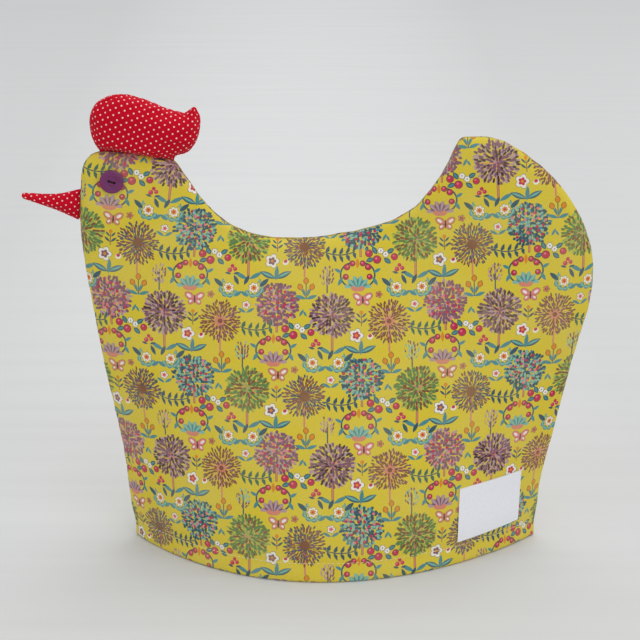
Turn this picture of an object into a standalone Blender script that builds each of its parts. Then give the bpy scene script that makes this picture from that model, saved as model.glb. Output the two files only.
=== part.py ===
"""A padded cloth tea cosy in the shape of a hen, standing on its hem.

Two wadded cotton panels, cut to the hen's outline, meet in a seam along the breast, head, back, tail and rump
and spread into an oval at the hem. A stuffed comb and a stuffed beak come out of that seam, a button on each
side of the head is an eye, and a woven patch lies on the front panel near the hem.
Metres, +Z up. The hen faces -X, its front panel faces -Y, and the origin is on the floor, under the middle of
its length.
"""

import math

import bmesh
import bpy
import numpy as np

# The whole cosy
HEM_MIDDLE_X = 0.0161
HEM_HALF_LENGTH = 0.1292
HEM_HALF_DEPTH = 0.0678
HEM_ROUNDNESS = 0.9
HEM_SKEW = 0.12
PIECE_GAP = 0.0003

# The seam of the two panels, as (x from the hem's middle, height)
BREAST = (
    (-0.1292, 0.0000),
    (-0.1293, 0.0105),
    (-0.1314, 0.0205),
    (-0.1325, 0.0345),
    (-0.1350, 0.0600),
    (-0.1397, 0.0885),
    (-0.1457, 0.1212),
    (-0.1508, 0.1549),
    (-0.1549, 0.1872),
    (-0.1569, 0.2090),
    (-0.1557, 0.2320),
    (-0.1541, 0.2450),
    (-0.1510, 0.2517),
    (-0.1470, 0.2550),
)
BACK = (
    (-0.1470, 0.2550),
    (-0.1400, 0.2567),
    (-0.1260, 0.2558),
    (-0.1100, 0.2533),
    (-0.0990, 0.2512),
    (-0.0947, 0.2470),
    (-0.0893, 0.2378),
    (-0.0830, 0.2282),
    (-0.0772, 0.2210),
    (-0.0694, 0.2135),
    (-0.0590, 0.2072),
    (-0.0440, 0.2026),
    (-0.0250, 0.2013),
    (0.0020, 0.2042),
    (0.0250, 0.2095),
    (0.0390, 0.2150),
    (0.0500, 0.2232),
    (0.0610, 0.2378),
    (0.0690, 0.2525),
    (0.0721, 0.2608),
    (0.0752, 0.2648),
    (0.0800, 0.2658),
    (0.0880, 0.2653),
    (0.0975, 0.2642),
    (0.1120, 0.2560),
    (0.1215, 0.2490),
)
RUMP = (
    (0.1292, 0.0000),
    (0.1289, 0.0110),
    (0.1302, 0.0185),
    (0.1306, 0.0330),
    (0.1326, 0.0460),
    (0.1372, 0.0660),
    (0.1420, 0.0903),
    (0.1460, 0.1104),
    (0.1500, 0.1297),
    (0.1556, 0.1499),
    (0.1585, 0.1640),
    (0.1593, 0.1800),
    (0.1568, 0.1970),
    (0.1514, 0.2128),
    (0.1413, 0.2284),
    (0.1317, 0.2400),
    (0.1215, 0.2490),
)

# The wadded cloth of a panel
WALL = 0.0045
ROLL_REACH = 0.007
PUFF = 0.0028
PUFF_REACH = 0.022
LEAN_POWER = 1.3
LEAN_SHARE = 0.45
LEAN_FADE = 0.6
STITCH_HEIGHT = 0.012
STITCH_DENT = 0.0011
STITCH_WIDTH = 0.0042
CREASE_START = (0.046, 0.216)
CREASE_END = (0.074, 0.222)
CREASE_DENT = 0.0016
CREASE_WIDTH = 0.0045
PANEL_COLUMNS = 44
SEAM_ROWS = (0.0, 0.0012, 0.0035, 0.0075, 0.0135, 0.0225)
HEM_ROWS = (0.0, 0.0035, 0.0080, 0.0120, 0.0160, 0.0230)
MIDDLE_ROWS = 12
BEND_SHARE = 0.020

# The comb and the beak, as (x from the hem's middle, height)
COMB_LEFT = (
    (-0.1424, 0.2568),
    (-0.1448, 0.2607),
    (-0.1479, 0.2700),
    (-0.1476, 0.2790),
    (-0.1436, 0.2860),
    (-0.1365, 0.2900),
)
COMB_TOP = (
    (-0.1365, 0.2900),
    (-0.1285, 0.2911),
    (-0.1170, 0.2886),
    (-0.1040, 0.2838),
    (-0.0960, 0.2808),
    (-0.0920, 0.2799),
    (-0.0886, 0.2812),
    (-0.0858, 0.2840),
    (-0.0838, 0.2830),
)
COMB_RIGHT = (
    (-0.0981, 0.2518),
    (-0.0974, 0.2536),
    (-0.0950, 0.2545),
    (-0.0920, 0.2550),
    (-0.0893, 0.2565),
    (-0.0868, 0.2593),
    (-0.0842, 0.2640),
    (-0.0825, 0.2700),
    (-0.0820, 0.2760),
    (-0.0838, 0.2830),
)
COMB_HALF_THICKNESS = 0.0105
COMB_ROUND_REACH = 0.013
COMB_ROOT_REACH = 0.006
COMB_COLUMNS, COMB_ROWS = 18, 12
BEAK_TIP = (
    (-0.1905, 0.2265),
    (-0.1916, 0.2281),
    (-0.1911, 0.2298),
    (-0.1898, 0.2304),
)
BEAK_TOP = (
    (-0.1898, 0.2304),
    (-0.1800, 0.2298),
    (-0.1690, 0.2298),
    (-0.1620, 0.2312),
    (-0.1560, 0.2336),
)
BEAK_UNDER = (
    (-0.1905, 0.2265),
    (-0.1810, 0.2232),
    (-0.1700, 0.2190),
    (-0.1575, 0.2128),
)
BEAK_HALF_THICKNESS = 0.0052
BEAK_ROUND_REACH = 0.007
BEAK_ROOT_REACH = 0.004
BEAK_COLUMNS, BEAK_ROWS = 12, 6
ROOT_GAP = 0.0004

# The eye buttons and the patch
EYE = (-0.1355, 0.2395)
BUTTON_RADIUS = 0.0073
BUTTON_THICKNESS = 0.0022
BUTTON_EDGE = 0.0006
BUTTON_RIM = 0.0011
BUTTON_WELL_RADIUS = 0.0036
BUTTON_WELL_DEPTH = 0.0004
BUTTON_HOLE_RADIUS = 0.0009
BUTTON_HOLE_OFFSET = 0.0017
BUTTON_HOLE_TURN = math.radians(17.0)
BUTTON_STEPS = 24
BUTTON_HOLE_SIDES = 10
PATCH_MIDDLE = (0.0969, 0.0336)
PATCH_SIZE = (0.0404, 0.0344)
PATCH_CLIMB = 0.067
PATCH_LEAN = 0.028
PATCH_THICKNESS = 0.0010
PATCH_CELLS = (7, 5)

# How finely curves are worked out
FINE = 400
SPAN_STEPS = 24
FACE_CELLS = 90
FACE_NEAREST = 9
SHARP_ANGLE = 40.0


def material(name, colour, roughness):
    """A plain finish of one colour."""
    made = bpy.data.materials.new(name)
    made.use_nodes = True
    shader = made.node_tree.nodes["Principled BSDF"]
    shader.inputs["Base Color"].default_value = (*colour, 1.0)
    shader.inputs["Roughness"].default_value = roughness
    shader.inputs["Metallic"].default_value = 0.0
    return made


def smooth_line(points, count=FINE):
    """Points spaced evenly along a smooth line through the given ones."""
    p = np.array(points, float)
    p = np.vstack([2 * p[0] - p[1], p, 2 * p[-1] - p[-2]])
    step = np.sqrt(np.linalg.norm(np.diff(p, axis=0), axis=1))
    knot = np.concatenate([[0.0], np.cumsum(step)])
    pieces = []
    for i in range(1, len(p) - 2):
        t = np.linspace(knot[i], knot[i + 1], SPAN_STEPS, endpoint=False)[:, None]
        k0, k1, k2, k3 = knot[i - 1 : i + 3]
        a1 = (k1 - t) / (k1 - k0) * p[i - 1] + (t - k0) / (k1 - k0) * p[i]
        a2 = (k2 - t) / (k2 - k1) * p[i] + (t - k1) / (k2 - k1) * p[i + 1]
        a3 = (k3 - t) / (k3 - k2) * p[i + 1] + (t - k2) / (k3 - k2) * p[i + 2]
        b1 = (k2 - t) / (k2 - k0) * a1 + (t - k0) / (k2 - k0) * a2
        b2 = (k3 - t) / (k3 - k1) * a2 + (t - k1) / (k3 - k1) * a3
        pieces.append((k2 - t) / (k2 - k1) * b1 + (t - k1) / (k2 - k1) * b2)
    line = np.vstack(pieces + [p[-2:-1]])
    along = length_along(line)
    return sample(line, np.linspace(0, along[-1], count + 1), along)


def length_along(line):
    """How far along the line each of its points is."""
    return np.concatenate([[0.0], np.cumsum(np.linalg.norm(np.diff(line, axis=0), axis=1))])


def sample(line, at, along):
    """The line's points where `along` has the values `at`."""
    return np.column_stack([np.interp(at, along, line[:, k]) for k in range(line.shape[1])])


def bend_measure(line):
    """Length along the line, plus a share for how much it has turned, so that bends get more points."""
    way = np.unwrap(np.arctan2(*np.diff(line, axis=0).T[::-1]))
    turned = np.concatenate([[0.0, 0.0], np.cumsum(np.abs(np.diff(way)))])
    return length_along(line) + BEND_SHARE * turned


def inset(line, amount):
    """The line moved to its right-hand side, seen with x to the right and height up."""
    way = np.gradient(line, axis=0)
    way /= np.linalg.norm(way, axis=1)[:, None]
    return line + amount * np.column_stack([way[:, 1], -way[:, 0]])


def graded(total, near_start, near_end, middle):
    """Places from 0 to 1 along a length, close together at its ends."""
    start = np.array(near_start) / total
    end = 1 - np.array(near_end)[::-1] / total
    return np.concatenate([start, np.linspace(start[-1], end[0], middle + 1)[1:-1], end])


def filled_outline(bottom, top, left, right, across, up):
    """Points inside four edge lines that share their corners. `across` and `up` are places from 0 to 1."""
    s, t = across[None, :, None], up[:, None, None]
    flat = (1 - t) * bottom[None] + t * top[None] + (1 - s) * left[:, None] + s * right[:, None]
    corners = (1 - s) * (1 - t) * bottom[0] + s * (1 - t) * bottom[-1]
    corners = corners + (1 - s) * t * top[0] + s * t * top[-1]
    return flat - corners


def distance_to(line, places):
    """How far each place is from the nearest point of the line."""
    gap = places.reshape(-1, 1, 2) - line[None]
    return np.sqrt((gap**2).sum(2)).min(1).reshape(places.shape[:-1])


def rounded(distance, reach):
    """Rises from 0 at an edge to 1 at `reach` from it, as the side of a stuffed piece does."""
    near = 1 - np.clip(distance / reach, 0, 1)
    return np.sqrt(1 - near**2)


def padding(distance):
    """How far the wadded cloth stands out from the seam's plane."""
    return WALL * rounded(distance, ROLL_REACH) + PUFF * (1 - np.exp(-distance / PUFF_REACH))


def dent(distance, width):
    """The depth's share of a soft trough, 1 in its middle."""
    return np.exp(-((distance / width) ** 2))


def crease_distance(places):
    """How far each place is from the crease that starts at the tail's seam."""
    start, end = np.array(CREASE_START), np.array(CREASE_END)
    share = np.clip(((places - start) @ (end - start)) / ((end - start) @ (end - start)), 0, 1)
    return np.linalg.norm(places - start - share[..., None] * (end - start), axis=-1)


def hem_line(x):
    """The hem's plan: how far it stands out in front of the seam's plane."""
    u = np.clip(x / HEM_HALF_LENGTH, -1, 1)
    return HEM_HALF_DEPTH * (1 - u**2) ** HEM_ROUNDNESS * (1 - HEM_SKEW * u)


BREAST_LINE = smooth_line(BREAST)
BACK_LINE = smooth_line(BACK)
RUMP_LINE = smooth_line(RUMP)
SEAM = np.vstack([BREAST_LINE, BACK_LINE[1:-1], RUMP_LINE[::-1]])


def panel_edges(across, up):
    """The panel's four edges at its columns and rows: outer ones, and inner ones one wall further in."""
    outer = SEAM
    inner = inset(SEAM, WALL)
    inner[[0, -1], 1] = 0.0
    inner[:, 1] = np.maximum(inner[:, 1], 0.0)
    edges = []
    measure = bend_measure(BACK_LINE)
    for whole in (outer, inner):
        breast, back, rump = whole[: FINE + 1], whole[FINE : 2 * FINE + 1], whole[2 * FINE :][::-1]
        edges.append(
            (
                sample(back, across * measure[-1], measure),
                sample(breast, up, BREAST_LINE[:, 1] / BREAST_LINE[-1, 1]),
                sample(rump, up, RUMP_LINE[:, 1] / RUMP_LINE[-1, 1]),
            )
        )
    return edges


def lean_in(top, up):
    """The share of the hem's spread left at each height: none in the head and the tail, which lie flat."""
    rise = (top - BACK_LINE[:, 1].min()) / (BACK_LINE[:, 1].max() - BACK_LINE[:, 1].min())
    flat_from = top - (1 - LEAN_SHARE) * (top - BACK_LINE[:, 1].min())
    share = np.clip(up[:, None] * top / flat_from, 0, 1)
    return (1 - share**LEAN_POWER) ** (1 + LEAN_FADE * rise)


def panel_surface(across, up, creased):
    """The front panel's outer and inner surfaces, as grids of (x, depth in front of the seam, height)."""
    (back, breast, rump), (inner_back, inner_breast, inner_rump) = panel_edges(across, up)
    share = (back[:, 0] - back[0, 0]) / (back[-1, 0] - back[0, 0])
    hem = np.column_stack([(2 * share - 1) * HEM_HALF_LENGTH, np.zeros(len(share))])
    plan = np.column_stack([hem[:, 0], -hem_line(hem[:, 0])])
    fine = np.linspace(-HEM_HALF_LENGTH, HEM_HALF_LENGTH, 4 * FINE + 1)
    inner_plan = inset(np.column_stack([fine, -hem_line(fine)]), -WALL)
    inner_plan = sample(inner_plan, plan[:, 0], fine)
    inner_plan[0], inner_plan[-1] = (inner_breast[0, 0], 0.0), (inner_rump[0, 0], 0.0)
    inner_hem = np.column_stack([inner_plan[:, 0], np.zeros(len(share))])
    places = filled_outline(hem, back, breast, rump, share, up)
    inner_places = filled_outline(inner_hem, inner_back, inner_breast, inner_rump, share, up)
    lean = lean_in(back[:, 1], up)
    depth = -plan[None, :, 1] * lean + padding(distance_to(SEAM, places)) * (1 - lean)
    inner_depth = np.maximum(-inner_plan[None, :, 1], 0.0) * lean
    in_from_seam = rounded(distance_to(SEAM, places), 2 * ROLL_REACH)
    depth -= STITCH_DENT * dent(places[..., 1] - STITCH_HEIGHT, STITCH_WIDTH) * in_from_seam
    if creased:
        depth -= CREASE_DENT * dent(crease_distance(places), CREASE_WIDTH) * in_from_seam
    depth[:, [0, -1]] = 0.0
    depth[-1, :] = 0.0
    outer = np.dstack([places[..., 0], depth, places[..., 1]])
    return outer, np.dstack([inner_places[..., 0], inner_depth, inner_places[..., 1]])


def panel_grid():
    """The places of the panel's columns and rows."""
    measure = bend_measure(BACK_LINE)[-1]
    across = graded(measure, SEAM_ROWS, SEAM_ROWS, PANEL_COLUMNS - 2 * len(SEAM_ROWS) + 2)
    up = graded(BREAST_LINE[-1, 1], HEM_ROWS, SEAM_ROWS, MIDDLE_ROWS)
    return across, up


FACE_PLACES = np.linspace(0, 1, FACE_CELLS + 1)
FACE, _ = panel_surface(FACE_PLACES, FACE_PLACES, True)


def on_panel(x, height):
    """The front panel's outer face at this x and height, from a plane through its nearest points."""
    gap = np.hypot(FACE[..., 0] - x, FACE[..., 2] - height)
    near = FACE.reshape(-1, 3)[np.argsort(gap, axis=None, kind="stable")[:FACE_NEAREST]]
    plane = np.column_stack([near[:, 0], near[:, 2], np.ones(len(near))])
    fit = np.linalg.lstsq(plane, near[:, 1], rcond=None)[0]
    return np.array([x, fit @ (x, height, 1.0), height])


def set_smooth(mesh):
    """Smooth shading, with an edge where faces meet at more than the sharp angle."""
    mesh.shade_smooth()
    mesh.set_sharp_from_angle(angle=math.radians(SHARP_ANGLE))


def add_object(name, bm, collection, finish):
    """A mesh object from bm, with its normals facing out."""
    bmesh.ops.recalc_face_normals(bm, faces=bm.faces)
    if bm.calc_volume(signed=True) < 0:
        bmesh.ops.reverse_faces(bm, faces=bm.faces)
    mesh = bpy.data.meshes.new(name)
    bm.to_mesh(mesh)
    bm.free()
    set_smooth(mesh)
    obj = bpy.data.objects.new(name, mesh)
    obj.data.materials.append(finish)
    collection.objects.link(obj)
    return obj


def grid_mesh(columns, rows, two_sided):
    """A flat grid from 0 to 1 each way. A two-sided one is a closed slab whose second side is at z = -1."""
    bm = bmesh.new()
    bmesh.ops.create_grid(bm, x_segments=columns, y_segments=rows, size=0.5)
    bmesh.ops.translate(bm, verts=bm.verts, vec=(0.5, 0.5, 0.0))
    if two_sided:
        made = bmesh.ops.extrude_face_region(bm, geom=bm.faces[:], use_keep_orig=True)
        second = [v for v in made["geom"] if isinstance(v, bmesh.types.BMVert)]
        bmesh.ops.translate(bm, verts=second, vec=(0.0, 0.0, -1.0))
    return bm


def lay_on(bm, columns, rows, first, second=None, side=-1.0, inward=0.0):
    """Moves a grid's points to the given surfaces, on the side of the seam that `side` says."""
    for v in bm.verts:
        surface = first if v.co.z > -0.5 else second
        x, depth, z = surface[round(v.co.y * rows), round(v.co.x * columns)]
        v.co = (x + HEM_MIDDLE_X, side * (depth + inward), z)


def add_panel(name, side, creased, collection, finish):
    """A wadded panel, its outer surface away from the seam's plane on the side that `side` says."""
    across, up = panel_grid()
    columns, rows = len(across) - 1, len(up) - 1
    outer, inner = panel_surface(across, up, creased)
    bm = grid_mesh(columns, rows, True)
    lay_on(bm, columns, rows, outer, inner, side, PIECE_GAP / 2)
    return add_object(name, bm, collection, finish)


def add_stuffed(name, edges, root, free, half_thickness, reaches, cells, collection, finish):
    """A stuffed piece of two like layers, sewn along the free edges and caught in a seam at the root."""
    places_at = [(1 - np.cos(math.pi * np.linspace(0, 1, n + 1))) / 2 for n in cells]
    sampled = []
    for line, at in zip(edges, places_at[:1] * 2 + places_at[1:] * 2):
        along = length_along(line)
        sampled.append(sample(line, at * along[-1], along))
    places = filled_outline(*sampled, *places_at)
    depth = half_thickness * rounded(distance_to(free, places), reaches[0])
    depth *= rounded(distance_to(root, places), reaches[1])
    depth[[0, -1], :] = 0.0
    depth[:, [0, -1]] = 0.0
    bm = grid_mesh(*cells, False)
    lay_on(bm, *cells, np.dstack([places[..., 0], depth, places[..., 1]]))
    obj = add_object(name, bm, collection, finish)
    mirror = obj.modifiers.new("other half", "MIRROR")
    mirror.use_axis = (False, True, False)
    mirror.merge_threshold = 0.00005
    return obj


def add_comb(collection, finish):
    """The comb, its root along the head's seam."""
    base = BACK_LINE[(BACK_LINE[:, 0] > COMB_LEFT[0][0]) & (BACK_LINE[:, 0] < COMB_RIGHT[0][0])]
    base = np.vstack([COMB_LEFT[0], base + (0.0, ROOT_GAP), COMB_RIGHT[0]])
    top, left, right = smooth_line(COMB_TOP), smooth_line(COMB_LEFT), smooth_line(COMB_RIGHT)
    edges, free = (base, top, left, right), np.vstack([left, top, right])
    reaches, cells = (COMB_ROUND_REACH, COMB_ROOT_REACH), (COMB_COLUMNS, COMB_ROWS)
    return add_stuffed("comb", edges, base, free, COMB_HALF_THICKNESS, reaches, cells, collection, finish)


def add_beak(collection, finish):
    """The beak, its root along the breast's seam."""
    low, high = BEAK_UNDER[-1][1], BEAK_TOP[-1][1]
    root = BREAST_LINE[(BREAST_LINE[:, 1] > low) & (BREAST_LINE[:, 1] < high)] - (ROOT_GAP, 0.0)
    under = smooth_line(BEAK_UNDER[:-1] + (tuple(root[0]),))
    top = smooth_line(BEAK_TOP[:-1] + (tuple(root[-1]),))
    tip = smooth_line(BEAK_TIP)
    edges, free = (under, top, tip, root), np.vstack([under, tip, top])
    reaches, cells = (BEAK_ROUND_REACH, BEAK_ROOT_REACH), (BEAK_COLUMNS, BEAK_ROWS)
    return add_stuffed("beak", edges, root, free, BEAK_HALF_THICKNESS, reaches, cells, collection, finish)


def add_button(name, side, collection, cutters, finish):
    """A turned two-hole button, its face away from the cosy."""
    x, z = EYE
    behind = np.hypot(FACE[..., 0] - x, FACE[..., 2] - z) < BUTTON_RADIUS
    stand_out = FACE[behind, 1].max()
    rim = (BUTTON_RADIUS - BUTTON_RIM, BUTTON_THICKNESS)
    floor = BUTTON_THICKNESS - BUTTON_WELL_DEPTH
    profile = (
        (0.0, floor),
        (BUTTON_WELL_RADIUS, floor),
        (BUTTON_WELL_RADIUS + BUTTON_WELL_DEPTH, BUTTON_THICKNESS - BUTTON_WELL_DEPTH / 3),
        rim,
        (BUTTON_RADIUS, BUTTON_THICKNESS - BUTTON_EDGE),
        (BUTTON_RADIUS, BUTTON_EDGE),
        (BUTTON_RADIUS - BUTTON_EDGE, 0.0),
        (0.0, 0.0),
    )
    mesh = bpy.data.meshes.new(name)
    points = [(r, 0.0, h) for r, h in profile]
    mesh.from_pydata(points, [(i, i + 1) for i in range(len(points) - 1)], [])
    obj = bpy.data.objects.new(name, mesh)
    obj.data.materials.append(finish)
    collection.objects.link(obj)
    obj.location = (x + HEM_MIDDLE_X, side * (stand_out + PIECE_GAP / 2 + 2 * PIECE_GAP), z)
    obj.rotation_euler = (-side * math.pi / 2, 0.0, 0.0)
    turn = obj.modifiers.new("turned", "SCREW")
    turn.steps = turn.render_steps = BUTTON_STEPS
    turn.use_merge_vertices = True
    turn.merge_threshold = 0.00001
    for hole in (-1, 1):
        bpy.ops.mesh.primitive_cylinder_add(
            vertices=BUTTON_HOLE_SIDES, radius=BUTTON_HOLE_RADIUS, depth=4 * BUTTON_THICKNESS
        )
        cutter = bpy.context.object
        cutter.name = f"{name}_hole_{hole}"
        cutter.parent = obj
        reach = hole * BUTTON_HOLE_OFFSET
        along, up = reach * math.cos(BUTTON_HOLE_TURN), -reach * math.sin(BUTTON_HOLE_TURN)
        cutter.location = (along, up, BUTTON_THICKNESS / 2)
        cutter.hide_render = True
        cutter.display_type = "WIRE"
        bpy.context.collection.objects.unlink(cutter)
        cutters.objects.link(cutter)
        cut = obj.modifiers.new("thread hole", "BOOLEAN")
        cut.operation = "DIFFERENCE"
        cut.object = cutter
    return obj


def add_patch(collection, finish):
    """A thin woven patch lying on the front panel, its bottom edge along the hem."""
    columns, rows = PATCH_CELLS
    points = np.zeros((2, rows + 1, columns + 1, 3))
    for row in range(rows + 1):
        for column in range(columns + 1):
            u = (column / columns - 0.5) * PATCH_SIZE[0]
            v = (row / rows - 0.5) * PATCH_SIZE[1]
            at = on_panel(PATCH_MIDDLE[0] + u + PATCH_LEAN * v, PATCH_MIDDLE[1] + v + PATCH_CLIMB * u)
            for layer in range(2):
                lift = 2 * PIECE_GAP + layer * PATCH_THICKNESS
                points[layer, row, column] = at + (0.0, lift, 0.0)
    bm = grid_mesh(columns, rows, True)
    lay_on(bm, columns, rows, points[1], points[0])
    return add_object("label_patch", bm, collection, finish)


def main():
    for obj in list(bpy.data.objects):
        bpy.data.objects.remove(obj)
    cosy = bpy.data.collections.new("hen_tea_cosy")
    cutters = bpy.data.collections.new("cutters")
    bpy.context.scene.collection.children.link(cosy)
    bpy.context.scene.collection.children.link(cutters)
    printed = material("printed_cotton", (0.56, 0.45, 0.04), 0.85)
    spotted = material("spotted_cotton", (0.55, 0.01, 0.03), 0.8)
    plastic = material("button_plastic", (0.13, 0.02, 0.13), 0.35)
    woven = material("woven_patch", (0.85, 0.85, 0.84), 0.8)
    add_panel("front_panel", -1.0, True, cosy, printed)
    add_panel("back_panel", 1.0, False, cosy, printed)
    add_comb(cosy, spotted)
    add_beak(cosy, spotted)
    add_button("eye_button_front", -1.0, cosy, cutters, plastic)
    add_button("eye_button_back", 1.0, cosy, cutters, plastic)
    add_patch(cosy, woven)


main()
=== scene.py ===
import math

import bmesh
import bpy
import numpy as np
from mathutils import Matrix, Vector, noise
from mathutils.bvhtree import BVHTree
from mathutils.kdtree import KDTree


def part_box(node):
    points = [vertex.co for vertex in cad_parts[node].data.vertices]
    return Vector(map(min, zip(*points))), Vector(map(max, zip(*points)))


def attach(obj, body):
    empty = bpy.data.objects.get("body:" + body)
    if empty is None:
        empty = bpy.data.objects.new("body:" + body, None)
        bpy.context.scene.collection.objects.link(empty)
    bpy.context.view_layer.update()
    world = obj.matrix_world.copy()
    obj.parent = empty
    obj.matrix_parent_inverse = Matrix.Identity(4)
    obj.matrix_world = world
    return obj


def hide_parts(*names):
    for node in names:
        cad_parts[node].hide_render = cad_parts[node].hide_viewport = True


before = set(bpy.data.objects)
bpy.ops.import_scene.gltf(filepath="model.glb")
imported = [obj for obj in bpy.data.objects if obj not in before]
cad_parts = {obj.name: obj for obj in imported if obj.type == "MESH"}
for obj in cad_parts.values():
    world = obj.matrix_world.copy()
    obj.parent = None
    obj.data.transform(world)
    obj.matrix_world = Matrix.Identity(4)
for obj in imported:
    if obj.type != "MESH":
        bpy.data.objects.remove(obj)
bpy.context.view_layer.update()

# The camera stands in front of the hen and looks a little down on it, as in the photograph. Its lens is
# long, so the sides of the cosy hardly lean.
CAMERA_DISTANCE = 1.2
CAMERA_RISE = math.radians(20.0)
CAMERA_TARGET = Vector((0.00623, 0.0, 0.1479))
CAMERA_LENS = 108.33
backwards = Vector((0.0, -math.cos(CAMERA_RISE), math.sin(CAMERA_RISE)))
bpy.ops.object.camera_add(location=CAMERA_TARGET + CAMERA_DISTANCE * backwards)
camera = bpy.context.object
camera.rotation_euler = (math.pi / 2 - CAMERA_RISE, 0.0, 0.0)
camera.data.lens = CAMERA_LENS
camera.data.sensor_width = 36.0
camera.data.clip_start = 0.02
bpy.context.scene.camera = camera

# The front and the back panel are printed cotton over wadding, faced with plain pale cotton inside. They
# are cut to the hen's outline and sewn together from the breast over the head and back to the rump. Their
# print is a closely strewn garden on a mustard ground, made up for this scene.


def paint(red, green, blue):
    """A colour from 0 to 255 steps, as the shader wants it."""
    steps = [c / 255 for c in (red, green, blue)]
    return tuple(c / 12.92 if c < 0.04045 else ((c + 0.055) / 1.055) ** 2.4 for c in steps) + (1.0,)


class Socket:
    """A node's output, with arithmetic that adds Math or Vector Math nodes."""

    def __init__(self, book, link):
        self.book, self.link = book, link

    def math(self, operation, *others, clamp=False):
        settings = {"operation": operation, "use_clamp": clamp}
        return self.book.node("ShaderNodeMath", settings, dict(enumerate((self, *others))))

    def vector(self, operation, *others, out="Vector"):
        values = dict(enumerate((self, *others)))
        return self.book.node("ShaderNodeVectorMath", {"operation": operation}, values, out)

    def dot(self, way):
        return self.vector("DOT_PRODUCT", way, out="Value")

    def length(self):
        return self.vector("LENGTH", out="Value")

    def __add__(self, other):
        return self.math("ADD", other)

    def __radd__(self, other):
        return self.math("ADD", other)

    def __sub__(self, other):
        return self.math("SUBTRACT", other)

    def __rsub__(self, other):
        return self.book.node("ShaderNodeMath", {"operation": "SUBTRACT"}, {0: other, 1: self})

    def __mul__(self, other):
        return self.math("MULTIPLY", other)

    def __rmul__(self, other):
        return self.math("MULTIPLY", other)

    def __truediv__(self, other):
        return self.math("DIVIDE", other)

    def __lt__(self, other):
        return self.math("LESS_THAN", other)

    def __gt__(self, other):
        return self.math("GREATER_THAN", other)

    def __abs__(self):
        return self.math("ABSOLUTE")

    def __or__(self, other):
        return self.math("MAXIMUM", other)

    def __and__(self, other):
        return self.math("MULTIPLY", other)


class Finish:
    """A material whose nodes are added one by one."""

    def __init__(self, name, **constants):
        self.material = bpy.data.materials.new(name)
        self.material.use_nodes = True
        self.tree = self.material.node_tree
        self.shader = self.tree.nodes["Principled BSDF"]
        for socket, value in constants.items():
            self.shader.inputs[socket.replace("_", " ")].default_value = value

    def node(self, kind, settings, values, out=0):
        """Adds a node with these settings and socket values or links, and gives back its output."""
        made = self.tree.nodes.new(kind)
        for name, value in settings.items():
            setattr(made, name, value)
        for socket, value in values.items():
            if isinstance(value, Socket):
                self.tree.links.new(value.link, made.inputs[socket])
            else:
                made.inputs[socket].default_value = value
        return made if out is None else Socket(self, made.outputs[out])

    def cloth(self):
        """Places on the cloth as it lay flat, in metres."""
        return self.node("ShaderNodeUVMap", {"uv_map": "cloth"}, {}, "UV")

    def space(self):
        """Places in the cosy's own frame, in metres."""
        return self.node("ShaderNodeTexCoord", {}, {}, "Object")

    def mix(self, share, first, second):
        """Goes from the first colour to the second as the share goes from 0 to 1."""
        return self.node("ShaderNodeMix", {"data_type": "RGBA"}, {0: share, 6: first, 7: second}, 2)

    def noise(self, place, detail=1.0, scale=1.0):
        """Soft random flecks, from 0 to 1."""
        values = {"Vector": place, "Scale": scale, "Detail": detail, "Roughness": 0.5}
        return self.node("ShaderNodeTexNoise", {}, values, "Fac")

    def weave(self, place, weft, warp):
        """The threads of plain cloth: one lot drawn out by the first scales, the other by the second."""
        return self.noise(place.vector("MULTIPLY", weft)) + self.noise(place.vector("MULTIPLY", warp))

    def feed(self, **sockets):
        """Links values to the shader's own sockets."""
        for socket, value in sockets.items():
            self.tree.links.new(value.link, self.shader.inputs[socket.replace("_", " ")])

    def bump(self, height, distance):
        """Sends a height, and how far it reaches in metres, to the shader's normal."""
        values = {"Height": height, "Distance": distance, "Strength": 1.0}
        self.feed(Normal=self.node("ShaderNodeBump", {}, values, "Normal"))


GROUND = paint(221, 198, 54)
DARK_TEAL = paint(44, 84, 104)
TEAL = paint(70, 138, 146)
PALE_TEAL = paint(132, 186, 168)
SALMON = paint(216, 134, 112)
BROWN = paint(128, 78, 58)
MAUVE = paint(126, 84, 108)
PALE_MAUVE = paint(182, 150, 158)
CRIMSON = paint(196, 32, 84)
PINK = paint(228, 122, 134)
WHITE = paint(240, 236, 226)
ORANGE = paint(222, 136, 30)
INK = paint(62, 44, 50)
LEAF_GREEN, PALE_GREEN, SPRIG_GREEN = paint(92, 128, 74), paint(150, 176, 84), paint(50, 104, 90)
PLUM = paint(150, 92, 118)
REPEAT_WIDTH, REPEAT_HEIGHT = 104.0, 92.0
EDGE_SHARPNESS = 7.0


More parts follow.
